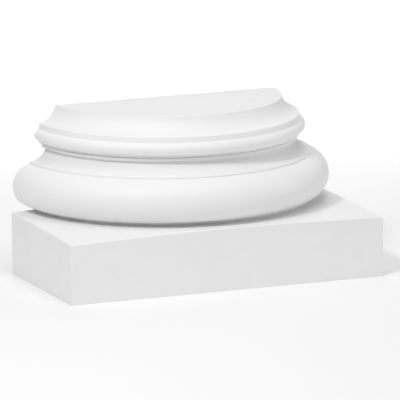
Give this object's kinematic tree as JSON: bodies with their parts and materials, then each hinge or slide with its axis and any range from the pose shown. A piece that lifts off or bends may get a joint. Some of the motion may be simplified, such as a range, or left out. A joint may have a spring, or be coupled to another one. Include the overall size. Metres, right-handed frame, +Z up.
{
  "type": "half column base",
  "caption": "Half-round column base: torus, scotia, bead and cavetto mouldings on a rectangular half plinth with a weathered top, cut flat at the back.",
  "frame": {"origin": "on the underside, midway across the width and the depth; the column's axis stands on the back plane, half the depth behind it", "axes": "+Z up; +X along the wall; +Y into the wall, so the rounded front faces -Y"},
  "size_m": [0.3, 0.149, 0.1519],
  "materials": {
    "white_primed_foam": "smooth matte white primer on moulded hard foam"
  },
  "bodies": {
    "root": {"half_column_base": "white_primed_foam"}
  },
  "joints": []
}
